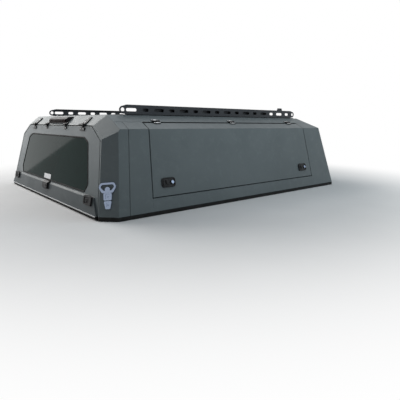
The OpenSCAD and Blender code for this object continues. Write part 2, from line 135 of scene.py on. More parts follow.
def powder_coat(name, dark, light, roughness, grain, specular, edge):
    """Powder coat with a fine grain, a slow drift in shade and gloss, and a trace of dust."""
    mat, tree, shader, coord = node_setup(name)
    drift = spread(tree, noise(tree, coord, 2.2, 4.0), 0, 1)
    shade = two_tone(tree, drift, dark, light)
    dust = tree.nodes.new("ShaderNodeMix")
    dust.data_type = "RGBA"
    dust.inputs["B"].default_value = (*[min(1, 0.03 + c * 1.25) for c in light], 1)
    tree.links.new(spread(tree, noise(tree, coord, 24.0, 8.0, 0.7), 0, 0.35, 0.52, 0.8),
                   dust.inputs["Factor"])
    tree.links.new(shade, dust.inputs["A"])
    tree.links.new(dust.outputs["Result"], shader.inputs["Base Color"])
    tree.links.new(spread(tree, noise(tree, coord, 7.0, 5.0), roughness - 0.05, roughness + 0.05),
                   shader.inputs["Roughness"])
    bump(tree, shader, noise(tree, coord, grain, 2.0), 0.4, 0.00015, edge)
    shader.inputs["Specular IOR Level"].default_value = specular
    return mat


def rubber(name, shade):
    """Matt black rubber, dusty in places."""
    mat, tree, shader, coord = node_setup(name)
    dust = spread(tree, noise(tree, coord, 35.0, 6.0, 0.7), 0, 1)
    tree.links.new(two_tone(tree, dust, [shade * 0.8] * 3, [shade * 1.7] * 3),
                   shader.inputs["Base Color"])
    tree.links.new(spread(tree, noise(tree, coord, 60.0), 0.7, 0.9), shader.inputs["Roughness"])
    bump(tree, shader, noise(tree, coord, 500.0), 0.4, 0.0003)
    shader.inputs["Specular IOR Level"].default_value = 0.2
    return mat


def tinted_glass(name, tint):
    """Dark tinted safety glass with a faint film of dust."""
    mat, tree, shader, coord = node_setup(name)
    film = spread(tree, noise(tree, coord, 6.0, 6.0, 0.65), 0, 1)
    tree.links.new(two_tone(tree, film, tint, [c * 1.3 for c in tint]), shader.inputs["Base Color"])
    tree.links.new(spread(tree, noise(tree, coord, 14.0, 5.0), 0.03, 0.07),
                   shader.inputs["Roughness"])
    bump(tree, shader, noise(tree, coord, 1.6, 1.0), 0.05, 0.001)
    shader.inputs["Transmission Weight"].default_value = 0.12
    shader.inputs["Specular IOR Level"].default_value = 0.005
    return mat


def bright_metal(name, shade, rough_low, rough_high, stretch=(1, 1, 12)):
    """Brushed or cast metal with fine directional lines."""
    mat, tree, shader, coord = node_setup(name)
    mapping = tree.nodes.new("ShaderNodeMapping")
    mapping.inputs["Scale"].default_value = stretch
    tree.links.new(coord, mapping.inputs["Vector"])
    lines = noise(tree, mapping.outputs["Vector"], 160.0, 4.0)
    tree.links.new(two_tone(tree, spread(tree, lines, 0, 1), [c * 0.85 for c in shade], shade),
                   shader.inputs["Base Color"])
    tree.links.new(spread(tree, lines, rough_low, rough_high), shader.inputs["Roughness"])
    bump(tree, shader, lines, 0.25, 0.0001, 0.0008)
    shader.inputs["Metallic"].default_value = 1.0
    return mat


def lens_plastic(name, dark, light):
    """Smoked lamp lens."""
    mat, tree, shader, coord = node_setup(name)
    cloud = spread(tree, noise(tree, coord, 40.0, 3.0), 0, 1)
    tree.links.new(two_tone(tree, cloud, dark, light), shader.inputs["Base Color"])
    tree.links.new(spread(tree, noise(tree, coord, 90.0), 0.10, 0.18), shader.inputs["Roughness"])
    bump(tree, shader, noise(tree, coord, 300.0), 0.2, 0.0002)
    shader.inputs["Specular IOR Level"].default_value = 0.02
    return mat


COAT = powder_coat("coat", (0.098, 0.119, 0.126), (0.124, 0.147, 0.155),
                   0.44, 900.0, 0.26, 3 * MM)
# The rear rail's coat: the same paint made darker, which paints the shade the rail lies in.
PAINTED_SHADE_RAIL_COAT = powder_coat("coat_rail_painted_shade", (0.058, 0.072, 0.077), (0.076, 0.091, 0.097),
                   0.46, 900.0, 0.2, 2 * MM)
RACK = powder_coat("rack_coat", (0.028, 0.031, 0.037), (0.044, 0.048, 0.056),
                   0.50, 1100.0, 0.25, 0.8 * MM)
HARDWARE = powder_coat("hardware_black", (0.007, 0.007, 0.008), (0.014, 0.014, 0.015),
                       0.48, 1300.0, 0.18, 0.8 * MM)
RUBBER = rubber("rubber_black", 0.010)
GLASS = tinted_glass("tinted", (0.006, 0.022, 0.019))
LENS = lens_plastic("lamp_lens", (0.012, 0.007, 0.008), (0.024, 0.010, 0.010))
STEEL = bright_metal("brushed_steel", (0.25, 0.30, 0.40), 0.25, 0.42)
ZINC = bright_metal("satin_zinc", (0.50, 0.51, 0.52), 0.34, 0.5, (12, 1, 1))

SLOT_MATERIALS = {"powder_coat": COAT, "rack_steel": RACK, "rubber": RUBBER,
                  "tinted_glass": GLASS, "black_hardware": HARDWARE,
                  "lamp_lens": LENS, "opener_steel": STEEL}


def dress_nodes():
    """Every CAD node takes the material of its slot; the rear rail takes a darker copy of the coat,
    which paints the shade on it.
    """
    for part in frame["record"]["subparts"]:
        obj = frame["nodes"][part["node"]]
        obj.data.materials.clear()
        obj.data.materials.append(SLOT_MATERIALS[part["material_slot"]])
    frame["nodes"]["rear_door_rail"].data.materials[0] = PAINTED_SHADE_RAIL_COAT


# ---------------------------------------------------------------- places on the body
def rot(degrees, axis):
    return Matrix.Rotation(math.radians(degrees), 4, axis)


def at(x, y, z=0.0):
    return Matrix.Translation((x, y, z))


def on_face(place, az, el):
    """A frame on a face: X along it, Y up it and Z out of it."""
    return at(*place) @ rot(az, "Z") @ rot(-el, "Y") @ rot(90, "Z") @ rot(90, "X")


def rear_y(z):
    return REAR_Y + (z - BASE_Z) * math.tan(math.radians(REAR_LEAN))


def side_x(z):
    return HALF_W - (z - BASE_Z) * math.tan(math.radians(SIDE_LEAN))


def chamfer_x(z):
    return FOLD_X - (z - SIDE_FOLD_Z) * CHAMFER_RUN


def on_rear(x, z):
    return on_face((x, rear_y(z), z), -90, REAR_LEAN)


def on_side(y, z):
    return on_face((side_x(z), y, z), 0, SIDE_LEAN)


def on_hinge_line(y):
    return on_face((chamfer_x(HINGE_Z), y, HINGE_Z), 0, CHAMFER_EL)


def on_bevel(x, up):
    """A frame on the bevel over the rear door, the given way up from its fold."""
    run = Vector((0, BEVEL_RUN, ROOF_Z - REAR_FOLD_Z)).normalized() * up
    return on_face((x, rear_y(REAR_FOLD_Z) + run.y, REAR_FOLD_Z + run.z), -90, BEVEL_EL)


# ---------------------------------------------------------------- mesh helpers
def finish_piece(obj, body, material, bevel=0.0):
    """Gives an object its material, slot and body, and rounds its edges."""
    obj.data.materials.append(material)
    if bevel:
        mod = obj.modifiers.new("rounding", "BEVEL")
        mod.width = bevel
        mod.segments = 2
        mod.limit_method = "ANGLE"
        mod.angle_limit = math.radians(40)
    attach(obj, body)
    return obj


def make_piece(name, bm, body, material, bevel=0.0, mirror=False):
    """A piece from a mesh, mirrored to the left side if asked."""
    if mirror:
        bmesh.ops.scale(bm, vec=(-1, 1, 1), verts=bm.verts)
        bmesh.ops.reverse_faces(bm, faces=bm.faces)
    mesh = bpy.data.meshes.new(name)
    bm.to_mesh(mesh)
    bm.free()
    obj = bpy.data.objects.new(name, mesh)
    bpy.context.scene.collection.objects.link(obj)
    return finish_piece(obj, body, material, bevel)


def rounded(outline, r, steps=4):
    """A convex counterclockwise outline with every corner rounded by radius r."""
    points = []
    pts = [Vector(p) for p in outline]
    for i, p in enumerate(pts):
        a = (pts[i - 1] - p).normalized()
        b = (pts[(i + 1) % len(pts)] - p).normalized()
        half = a.angle(b) / 2
        centre = p + (a + b).normalized() * r / math.sin(half)
        start = p + a * r / math.tan(half) - centre
        turn = math.pi - 2 * half
        for k in range(steps + 1):
            angle = turn * k / steps
            points.append((centre.x + start.x * math.cos(angle) - start.y * math.sin(angle),
                           centre.y + start.x * math.sin(angle) + start.y * math.cos(angle)))
    return points


def oblong(w, h):
    return [(-w / 2, -h / 2), (w / 2, -h / 2), (w / 2, h / 2), (-w / 2, h / 2)]


def plaque(w, h, r, steps=4):
    """A rounded rectangle, with its sizes given in millimetres."""
    return rounded(scaled(oblong(w, h)), r * MM, steps)


def shift(outline, dx, dy):
    return [(x + dx, y + dy) for x, y in outline]


def circle(cx, cy, r, steps=24):
    turns = [2 * math.pi * k / steps for k in range(steps)]
    return [(cx + r * math.cos(turn), cy + r * math.sin(turn)) for turn in turns]


def stadium(cx, cy, length, height, steps=8):
    """A slot's outline, with half a circle at each end."""
    half, r = (length - height) / 2, height / 2
    points = []
    for side, first in ((1, -90), (-1, 90)):
        for k in range(steps + 1):
            a = math.radians(first + 180 * k / steps)
            points.append((cx + side * half + r * math.cos(a), cy + r * math.sin(a)))
    return points


def scaled(points):
    """Millimetres made metres."""
    return [tuple(c * MM for c in point) for point in points]


def add_prism(bm, outline, z0, z1, matrix=Matrix(), taper=1.0):
    """A counterclockwise outline extruded from z0 to z1, its top scaled by taper."""
    cx = sum(p[0] for p in outline) / len(outline)
    cy = sum(p[1] for p in outline) / len(outline)
    low = [bm.verts.new(matrix @ Vector((x, y, z0))) for x, y in outline]
    high = [bm.verts.new(matrix @ Vector((cx + (x - cx) * taper, cy + (y - cy) * taper, z1)))
            for x, y in outline]
    bm.faces.new(list(reversed(low)))
    bm.faces.new(high)
    for i in range(len(outline)):
        j = (i + 1) % len(outline)
        bm.faces.new((low[i], low[j], high[j], high[i]))


def add_lathe(bm, profile, matrix, segments):
    """A profile of (radius, height) points turned about Z, closed on the axis at both ends."""
    rings = []
    for r, z in profile:
        ring = circle(0, 0, r, segments) if r else [(0, 0)]
        rings.append([bm.verts.new(matrix @ Vector((x, y, z))) for x, y in ring])
    for below, above in zip(rings, rings[1:]):
        for k in range(segments):
            n = (k + 1) % segments
            if len(below) == 1:
                bm.faces.new((below[0], above[n], above[k]))
            elif len(above) == 1:
                bm.faces.new((below[k], below[n], above[0]))
            else:
                bm.faces.new((below[k], below[n], above[n], above[k]))


def add_screw(bm, matrix, r):
    """A domed screw head with a socket."""
    add_lathe(bm, [(0, 0), (r, 0), (r, 0.15 * r), (0.85 * r, 0.4 * r), (0.5 * r, 0.55 * r),
                   (0.45 * r, 0.2 * r), (0, 0.2 * r)], matrix, 12)


def add_bolt(bm, matrix, r):
    """A hexagon head on a washer."""
    add_lathe(bm, [(0, 0), (1.5 * r, 0), (1.5 * r, 0.2 * r), (0, 0.2 * r)], matrix, 16)
    add_lathe(bm, [(0, 0.2 * r), (r, 0.2 * r), (r, 0.75 * r), (0.8 * r, 0.9 * r), (0, 0.9 * r)],
              matrix, 6)


def add_lock(bm, matrix, r, height):
    """A lock cylinder with a rim and a sunk face."""
    add_lathe(bm, [(0, 0), (r, 0), (r, 0.7 * height), (0.88 * r, height), (0.7 * r, height),
                   (0.62 * r, 0.75 * height), (0, 0.75 * height)], matrix, 20)


def add_sweep(bm, path, section):
    """A section of (outward, height) points swept round a flat closed path of (x, y) points."""
    rings = []
    count = len(path)
    for i in range(count):
        p = Vector(path[i])
        a = (p - Vector(path[i - 1])).normalized()
        b = (Vector(path[(i + 1) % count]) - p).normalized()
        along = (a + b).normalized()
        side = Vector((along.y, -along.x)) / max(0.3, a.dot(along))
        rings.append([bm.verts.new((*(p + side * u), v)) for u, v in section])
    for i in range(count):
        here, there = rings[i], rings[(i + 1) % count]
        for k in range(len(section)):
            m = (k + 1) % len(section)
            bm.faces.new((here[k], there[k], there[m], here[m]))
    bmesh.ops.recalc_face_normals(bm, faces=bm.faces)


def tube(name, points, radius, closed):
    """A round rubber bead along a path, on the shell."""
    data = bpy.data.curves.new(name, "CURVE")
    data.dimensions = "3D"
    data.bevel_depth = radius
    data.bevel_resolution = 2
    data.use_fill_caps = True
    line = data.splines.new("POLY")
    line.points.add(len(points) - 1)
    for point, place in zip(line.points, points):
        point.co = (*place, 1)
    line.use_cyclic_u = closed
    obj = bpy.data.objects.new(name, data)
    bpy.context.scene.collection.objects.link(obj)
    finish_piece(obj, SHELL, RUBBER)


def pierced_plate(outlines, thickness):
    """A mesh plate on the XY plane from an outline and the outlines of its holes."""
    data = bpy.data.curves.new("plate", "CURVE")
    data.dimensions = "2D"
    data.fill_mode = "BOTH"
    data.extrude = thickness / 2
    for outline in outlines:
        line = data.splines.new("POLY")
        line.points.add(len(outline) - 1)
        for point, (x, y) in zip(line.points, outline):
            point.co = (x, y, 0, 1)
        line.use_cyclic_u = True
    temporary = bpy.data.objects.new("plate", data)
    bpy.context.scene.collection.objects.link(temporary)
    bpy.context.view_layer.update()
    mesh = bpy.data.meshes.new_from_object(temporary)
    bpy.data.objects.remove(temporary)
    bpy.data.curves.remove(data)
    return mesh


# ---------------------------------------------------------------- fittings' sizes in millimetres
# Rounding of edges, and the gap that keeps two faces out of one plane
FINE_EDGE, SOFT_EDGE, BAR_EDGE, HAIR = 0.3, 0.4, 0.5, 0.2

# Side hinges: their places, and the painted-highlight strips on their leaves, above and below the
# hinge line
SIDE_HINGE_Y = (-545, 20, 590)
STRIP_W, STRIP_H, STRIP_R, STRIP_T, STRIP_UP = 38, 9, 2, 1.5, 15
STRIP_SCREW_X, STRIP_SCREW_R = 12, 3
SIDE_LEAF_T = 4

# Rear hinges: their places, and the screws' half spans, places up or down from the fold and radii
REAR_HINGE_X, REAR_LEAF_SCREW_X = (-397, 397), 17
LAMP_HINGE_X, LAMP_LEAF_SCREW_X = (-157, 157), 9
ARM_SCREWS_UP, ARM_SCREW_R, ARM_T = (20, 42), 4, 6
LEAF_SCREW_DOWN, LEAF_SCREW_R, REAR_LEAF_T = 20, 3, 5

# Latches and handle: heights over the base, what stands proud of the skin, and the parts on them
SIDE_LATCH_Y, SIDE_LATCH_Z, SIDE_LATCH_TOP, SIDE_RIM_TOP = (-559, 586), 132, 7, 6
SIDE_LOCK_X, SIDE_LOCK_R, SIDE_LOCK_H = 21, 9, 4
SIDE_PADDLE, SIDE_PADDLE_X, SIDE_PADDLE_T = (16, 26, 5), -8, 2
SIDE_PLATE_SCREW_X, PLATE_SCREW_R = 36, 2.5
REAR_LATCH_X, REAR_LATCH_Z, REAR_LATCH_FLOOR = 600, 59, 13
REAR_PADDLE, REAR_PADDLE_X, REAR_PADDLE_T = (46, 24, 5), 8, 3
REAR_LOCK_R, REAR_LOCK_H = 8, 3
HANDLE_PLATE, HANDLE_PLATE_T = (60, 14, 4), 1.5
HANDLE_Z, HANDLE_PROUD, HANDLE_SCREW_X = 59, 22, 34

# Windows: outlines over the base line, and their seal's section as (outward, height)
REAR_OUTLINE, REAR_CORNER_R = [(-520, 90), (520, 90), (550, 130), (486, 334), (434, 357),
                               (-434, 357), (-486, 334), (-550, 130)], 10
FRONT_OUTLINE, FRONT_CORNER_R = [(-470, 110), (470, 110), (430, 330), (-430, 330)], 30
GLASS_SEAL = [(-4, -0.5), (4, -0.5), (4, 0.8), (1.5, 2.2), (-1.5, 2.2), (-4, 0.8)]
GLASS_PLATE, GLASS_PLATE_X, GLASS_PLATE_Z = (112, 28, 3), -27, 109
GLASS_PLATE_BACK, GLASS_PLATE_FRONT = -3, 1.2

# Door seals: the bead, the side openings along Y and up, and the rear's (height, half width)
SEAL_R, SEAL_INSET, SEAL_DEPTH = 2.3, 2.4, 9.0
DOOR_START, DOOR_END, SILL_H = 255, 1612, 62
REAR_OPENING = [(3.0, 700.6), (347.9, 621.0), (417.6, 502.7)]

# Rack: side rails with lugs, eyes and slots, the cleat on the left one, slats, and the bolts of
# the feet as (x, y, radius)
RACK_L, RACK_H, RACK_FLANGE, RACK_T, RACK_MID_Y = 1490, 52, 22, 3, 25
SHOULDER, LUG_R, EYE_R, EYE_Z = 46, 20, 11, 25
SLOT_PITCH, BIG_SLOT, SMALL_SLOT, SLOT_H, FIRST_SLOT = 177, 64, 38, 18, 40
CLEAT_OUTLINE, CLEAT_CORNER_R = [(-24, -1), (24, -1), (17, 18), (-17, 18)], 4
CLEAT_HOLE_Z, CLEAT_HOLE_R = 9, 4.5
CLEAT_X, CLEAT_Y, CLEAT_T = 10, 583, 12
SLAT_W, SLAT_COUNT, SLAT_BOLT_X, SLAT_BOLT_R = 44, 6, 485, 5
FOOT_H = 4
FOOT_BOLTS = [(484, -680, 5), (484, 730, 5), (499.5, -183.6, 3.5), (499.5, 233.6, 3.5)]

# Lamp ribs, the opener on its facet, whose angles are in degrees, and the seal carrier's section
RIB, RIB_COUNT, RIB_FOOT, RIB_T = (3.5, 17, 1.5), 25, 0.4, 1.2
FACET_X, FACET_Y, FACET_AZ, FACET_LEAN = 746, 34, -45, 15
OPENER_X, OPENER_TURN, OPENER_T = -2, 5.5, 6
OPENER_SCREWS_UP, OPENER_SCREW_R = (95, 57), 4
CARRIER = [(-1.5, -5), (2.5, -5), (2.5, 0), (-1.5, 0)]


# ---------------------------------------------------------------- rack
X_TO_Y = rot(90, "Z") @ rot(90, "X")


def tangent(height, sign):
    """The angle from a rail's shoulder to the tangent of its lug, for one edge of the rail."""
    run = SHOULDER - LUG_R
    return math.degrees(math.atan2(height, run) - sign * math.asin(LUG_R / math.hypot(height, run)))


def lugged_outline():
    """The plate of a side rail, whose ends narrow to a round lug."""
    low = tangent(EYE_Z, 1) - 90
    high = tangent(EYE_Z - RACK_H, -1) + 90
    turns = [math.radians(low + (high - low) * k / 12) for k in range(13)]
    centre = RACK_L / 2 - LUG_R
    arc = [(centre + LUG_R * math.cos(a), EYE_Z + LUG_R * math.sin(a)) for a in turns]
    body = RACK_L / 2 - SHOULDER
    right = [(body, 0)] + arc + [(body, RACK_H)]
    return right + [(-x, y) for x, y in reversed(right)]


def rail_holes():
    """The eyes at a rail's ends and the row of large and small slots between them."""
    holes = [circle(s * (RACK_L / 2 - LUG_R), EYE_Z, EYE_R) for s in (-1, 1)]
    start = FIRST_SLOT - RACK_L / 2
    while start + SLOT_PITCH < RACK_L / 2 + BIG_SLOT - FIRST_SLOT:
        holes.append(stadium(start + BIG_SLOT / 2, EYE_Z, BIG_SLOT, SLOT_H))
        holes.append(stadium(start + (BIG_SLOT + SLOT_PITCH) / 2, EYE_Z, SMALL_SLOT, SLOT_H))
        start += SLOT_PITCH
    return holes


def add_mesh(bm, mesh, matrix):
    """A mesh put into bm at the given place."""
    mesh.transform(matrix)
    bm.from_mesh(mesh)
    bpy.data.meshes.remove(mesh)


def left_rail():
    """The left side rail, open behind its slots."""
    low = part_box("rack_left_rail")[0]
    middle = RACK_MID_Y * MM
    bm = bmesh.new()
    outlines = [lugged_outline()] + rail_holes()
    plate = pierced_plate([scaled(outline) for outline in outlines], RACK_T * MM)
    add_mesh(bm, plate, at(low.x + RACK_T * MM / 2, middle, low.z) @ X_TO_Y)
    flange = shift(oblong(RACK_FLANGE * MM, (RACK_L - 2 * SHOULDER) * MM),
                   low.x + RACK_FLANGE * MM / 2, middle)
    for z in (0, RACK_H - RACK_T):
        add_prism(bm, flange, low.z + z * MM, low.z + (z + RACK_T) * MM)
    cleat = pierced_plate([rounded(scaled(CLEAT_OUTLINE), CLEAT_CORNER_R * MM),
                           scaled(circle(0, CLEAT_HOLE_Z, CLEAT_HOLE_R))], CLEAT_T * MM)
    place = at(low.x + CLEAT_X * MM, middle + CLEAT_Y * MM, low.z + RACK_H * MM)
    add_mesh(bm, cleat, place @ X_TO_Y)
    piece = make_piece("rack_left_rail_open", bm, SHELL, RACK)
    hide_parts("rack_left_rail")


def crossbars():
    """Flat bars under the ends of the rack's side rails."""
    for node, name, facing in (("rack_rear_fascia", "rack_rear_crossbar", 1),
                               ("rack_front_fascia", "rack_front_crossbar", -1)):
        low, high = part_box(node)
        edge = low.y if facing > 0 else high.y
        bar = shift(oblong(high.x - low.x, RACK_FLANGE * MM), 0,
                    edge + facing * RACK_FLANGE * MM / 2)
        bm = bmesh.new()
        add_prism(bm, bar, low.z - RACK_T * MM, low.z + HAIR * MM)
        piece = make_piece(name, bm, SHELL, RACK, BAR_EDGE * MM)
        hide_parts(node)


def slat_places():
    """The slats' places along Y, evenly spread between the rack's ends."""
    spacing = RACK_L / (SLAT_COUNT + 1)
    return [(RACK_MID_Y - RACK_L / 2 + i * spacing) * MM for i in range(1, SLAT_COUNT + 1)]


def slats():
    """Flat cross slats between the side rails, low enough to leave the rails' slots open."""
    low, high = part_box("rack_slats")
    bm = bmesh.new()
    for y in slat_places():
        slat = shift(oblong(high.x - low.x, SLAT_W * MM), 0, y)
        add_prism(bm, slat, low.z, low.z + RACK_T * MM)
    piece = make_piece("rack_flat_slats", bm, SHELL, RACK, BAR_EDGE * MM)
    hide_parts("rack_slats")


def rack_pads():
    """Rubber strips between the side rails and the roof."""
    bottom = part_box("rack_left_rail")[0].z
    outer_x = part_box("rack_right_rail")[1].x
    for s, name in ((1, "right"), (-1, "left")):
        bm = bmesh.new()
        strip = shift(oblong(RACK_FLANGE * MM, (RACK_L - 2 * SHOULDER) * MM),
                      s * (outer_x - (RACK_T + RACK_FLANGE) / 2 * MM), RACK_MID_Y * MM)
        add_prism(bm, strip, ROOF_Z + HAIR * MM, bottom)
        make_piece(f"rack_{name}_pad", bm, SHELL, RUBBER)


def rack_bolts():
    """Bolt heads on the ends of the slats and on the rack's feet."""
    bm = bmesh.new()
    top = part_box("rack_slats")[0].z + RACK_T * MM
    for y in slat_places():
        for s in (-1, 1):
            add_bolt(bm, at(s * SLAT_BOLT_X * MM, y, top), SLAT_BOLT_R * MM)
    for x, y, r in FOOT_BOLTS:
        for s in (-1, 1):
            add_bolt(bm, at(s * x * MM, y * MM, ROOF_Z + FOOT_H * MM), r * MM)
    make_piece("rack_bolts", bm, SHELL, ZINC, FINE_EDGE * MM)


# ---------------------------------------------------------------- seals and glass
def skin_x(z, depth):
    """Half the width at height z, the given depth under the skin."""
    upright = side_x(z) - depth / math.cos(math.radians(SIDE_LEAN))
    sloping = chamfer_x(z) - depth / math.cos(math.radians(CHAMFER_EL))
    return min(upright, sloping)


def door_opening_seals():
    """A bead round each side door's opening, bent where the side folds into the chamfer."""
    inset, depth = SEAL_INSET * MM, SEAL_DEPTH * MM
    z0, z1 = BASE_Z + SILL_H * MM + inset, HINGE_Z - inset
    slope = 1 / math.cos(math.radians(SIDE_LEAN)) - 1 / math.cos(math.radians(CHAMFER_EL))
    fold = SIDE_FOLD_Z + depth * slope / (CHAMFER_RUN - math.tan(math.radians(SIDE_LEAN)))
    front = REAR_Y + DOOR_END * MM - inset

    def rear(z):
        return REAR_Y + DOOR_START * MM + inset + (z - BASE_Z) * math.tan(math.radians(SEAM_LEAN))

    corners = [(rear(z0), z0), (front, z0), (front, fold),
               (front, z1), (rear(z1), z1), (rear(fold), fold)]
    for s, side in ((1, "right"), (-1, "left")):
        path = [(s * skin_x(z, depth), y, z) for y, z in corners]
        tube(side + "_opening_seal", path, SEAL_R * MM, True)


def rear_opening_seal():
    """A bead up both sides and over the top of the rear opening."""
    depth = SEAL_DEPTH * MM / math.cos(math.radians(REAR_LEAN))
    line = [(x * MM, BASE_Z + z * MM) for z, x in REAR_OPENING]
    line = [(-x, z) for x, z in line] + line[::-1]
    tube("rear_opening_seal", [(x, rear_y(z) + depth, z) for x, z in line], SEAL_R * MM, False)


def glass_seals():
    """The rubber frames of the rear glass and the front window."""
    rear_face = on_rear(0, BASE_Z)
    front_face = on_face((0, FRONT_Y, BASE_Z), 90, FRONT_LEAN)
    for name, outline, r, face, lean, body in (
            ("rear_glass_seal", REAR_OUTLINE, REAR_CORNER_R, rear_face, REAR_LEAN, REAR),
            ("front_window_seal", FRONT_OUTLINE, FRONT_CORNER_R, front_face, FRONT_LEAN, SHELL)):
        bm = bmesh.new()
        climb = 1 / math.cos(math.radians(lean))
        path = [(x * MM, z * MM * climb) for x, z in rounded(outline, r)]
        add_sweep(bm, path, scaled(GLASS_SEAL))
        bm.transform(face)
        make_piece(name, bm, body, RUBBER)


# ---------------------------------------------------------------- hinges and latches
def side_hinge_plates():
    """Bright zinc strips with screws on the leaves of the side hinges, which paint the highlight on
    the leaves' tops.
    """
    for mirror, side, body in ((False, "right", RIGHT), (True, "left", LEFT)):
        for owner, up, end in ((SHELL, STRIP_UP, "fixed"), (body, -STRIP_UP, "door")):
            strips, screws = bmesh.new(), bmesh.new()
            outline = plaque(STRIP_W, STRIP_H, STRIP_R)
            for y in SIDE_HINGE_Y:
                place = on_hinge_line(y * MM) @ at(0, up * MM, SIDE_LEAF_T * MM)
                add_prism(strips, outline, 0, STRIP_T * MM, place, 0.97)
                for x in (-STRIP_SCREW_X, STRIP_SCREW_X):
                    add_screw(screws, place @ at(x * MM, 0, STRIP_T * MM), STRIP_SCREW_R * MM)
            make_piece(f"{side}_hinge_strips_{end}", strips, owner, ZINC,
                       FINE_EDGE * MM, mirror)
            make_piece(f"{side}_hinge_screws_{end}", screws, owner, HARDWARE,
                       0, mirror)


def rear_hinge_screws():
    """Screws in the rear hinges' arms and in the door's four leaves."""
    shell, door = bmesh.new(), bmesh.new()
    for x in REAR_HINGE_X:
        for up in ARM_SCREWS_UP:
            place = on_bevel(x * MM, up * MM) @ at(0, 0, ARM_T * MM)
            add_screw(shell, place, ARM_SCREW_R * MM)
    leaves = [(x, REAR_LEAF_SCREW_X) for x in REAR_HINGE_X]
    leaves += [(x, LAMP_LEAF_SCREW_X) for x in LAMP_HINGE_X]
    for x, half in leaves:
        for s in (-1, 1):
            place = on_rear((x + s * half) * MM, REAR_FOLD_Z - LEAF_SCREW_DOWN * MM)
            add_screw(door, place @ at(0, 0, REAR_LEAF_T * MM), LEAF_SCREW_R * MM)
    make_piece("rear_hinge_screws_fixed", shell, SHELL, ZINC)
    make_piece("rear_hinge_screws_door", door, REAR, ZINC)


def side_latch_fittings():
    """Lock cylinders, finger paddles and plate screws of the side doors' latches."""
    paddle = plaque(*SIDE_PADDLE)
    for mirror, side, body in ((False, "right", RIGHT), (True, "left", LEFT)):
        locks, paddles = bmesh.new(), bmesh.new()
        for y in SIDE_LATCH_Y:
            plate = on_side(y * MM, BASE_Z + SIDE_LATCH_Z * MM)
            face = plate @ at(0, 0, SIDE_LATCH_TOP * MM)
            add_lock(locks, face @ at(SIDE_LOCK_X * MM, 0), SIDE_LOCK_R * MM, SIDE_LOCK_H * MM)
            add_prism(paddles, paddle, 0, SIDE_PADDLE_T * MM, face @ at(SIDE_PADDLE_X * MM, 0), 0.8)
            for x in (-SIDE_PLATE_SCREW_X, SIDE_PLATE_SCREW_X):
                add_screw(paddles, plate @ at(x * MM, 0, SIDE_RIM_TOP * MM), PLATE_SCREW_R * MM)
        make_piece(f"{side}_latch_locks", locks, body, STEEL, 0, mirror)
        make_piece(f"{side}_latch_paddles", paddles, body, HARDWARE,
                   SOFT_EDGE * MM, mirror)


def rear_latch_fittings():
    """Paddles and lock cylinders in the recesses of the rear door's latches."""
    paddle = plaque(*REAR_PADDLE)
    locks, paddles = bmesh.new(), bmesh.new()
    for s in (-1, 1):
        place = on_rear(s * REAR_LATCH_X * MM, BASE_Z + REAR_LATCH_Z * MM)
        place = place @ at(-s * REAR_PADDLE_X * MM, 0, REAR_LATCH_FLOOR * MM)
        add_prism(paddles, paddle, 0, REAR_PADDLE_T * MM, place, 0.85)
        add_lock(locks, place @ at(0, 0, REAR_PADDLE_T * MM), REAR_LOCK_R * MM, REAR_LOCK_H * MM)
    make_piece("rear_latch_paddles", paddles, REAR, HARDWARE, SOFT_EDGE * MM)
    make_piece("rear_latch_locks", locks, REAR, HARDWARE)


def handle_fittings():
    """Grip plate and screws of the rear door's handle."""
    bm = bmesh.new()
    face = on_rear(0, BASE_Z + HANDLE_Z * MM) @ at(0, 0, HANDLE_PROUD * MM)
    add_prism(bm, plaque(*HANDLE_PLATE), 0, HANDLE_PLATE_T * MM, face, 0.93)
    for x in (-HANDLE_SCREW_X, HANDLE_SCREW_X):
        add_screw(bm, face @ at(x * MM, 0), PLATE_SCREW_R * MM)
    make_piece("rear_handle_plate", bm, REAR, HARDWARE, FINE_EDGE * MM)


def glass_plate():
    """The bare pale plate low on the rear glass."""
    bm = bmesh.new()
    place = on_rear(GLASS_PLATE_X * MM, BASE_Z + GLASS_PLATE_Z * MM)
    add_prism(bm, plaque(*GLASS_PLATE), GLASS_PLATE_BACK * MM, GLASS_PLATE_FRONT * MM, place)
    make_piece("rear_glass_plate", bm, REAR, ZINC, FINE_EDGE * MM)


def lamp_ribs():
    """Upright ribs on the lamp's lens."""
    low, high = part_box("brake_lamp_lens")
    rib = plaque(*RIB, 2)
    bm = bmesh.new()
    for i in range(RIB_COUNT):
        x = low.x + (high.x - low.x) * (i + 0.5) / RIB_COUNT
        place = at(x, low.y + RIB_FOOT * MM, (low.z + high.z) / 2) @ rot(90, "X")
        add_prism(bm, rib, 0, RIB_T * MM, place, 0.8)
    make_piece("lamp_lens_ribs", bm, SHELL, LENS)


def opener_screws():
    """The two screws of the bottle opener, on the corner facet."""
    bm = bmesh.new()
    facet = on_face((FACET_X * MM, REAR_Y + FACET_Y * MM, BASE_Z), FACET_AZ, FACET_LEAN)
    opener = facet @ at(OPENER_X * MM, 0) @ rot(OPENER_TURN, "Z")
    for up in OPENER_SCREWS_UP:
        add_screw(bm, opener @ at(0, up * MM, OPENER_T * MM), OPENER_SCREW_R * MM)
    make_piece("opener_screws", bm, SHELL, STEEL)


def seal_carrier():
    """The bright strip that holds the seal under the rear door's rail."""
    low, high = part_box("rear_door_seal")
    bm = bmesh.new()
    add_prism(bm, scaled(CARRIER), low.x, high.x, at(0, low.y, high.z) @ X_TO_Y)
    make_piece("rear_seal_carrier", bm, REAR, ZINC, SOFT_EDGE * MM)


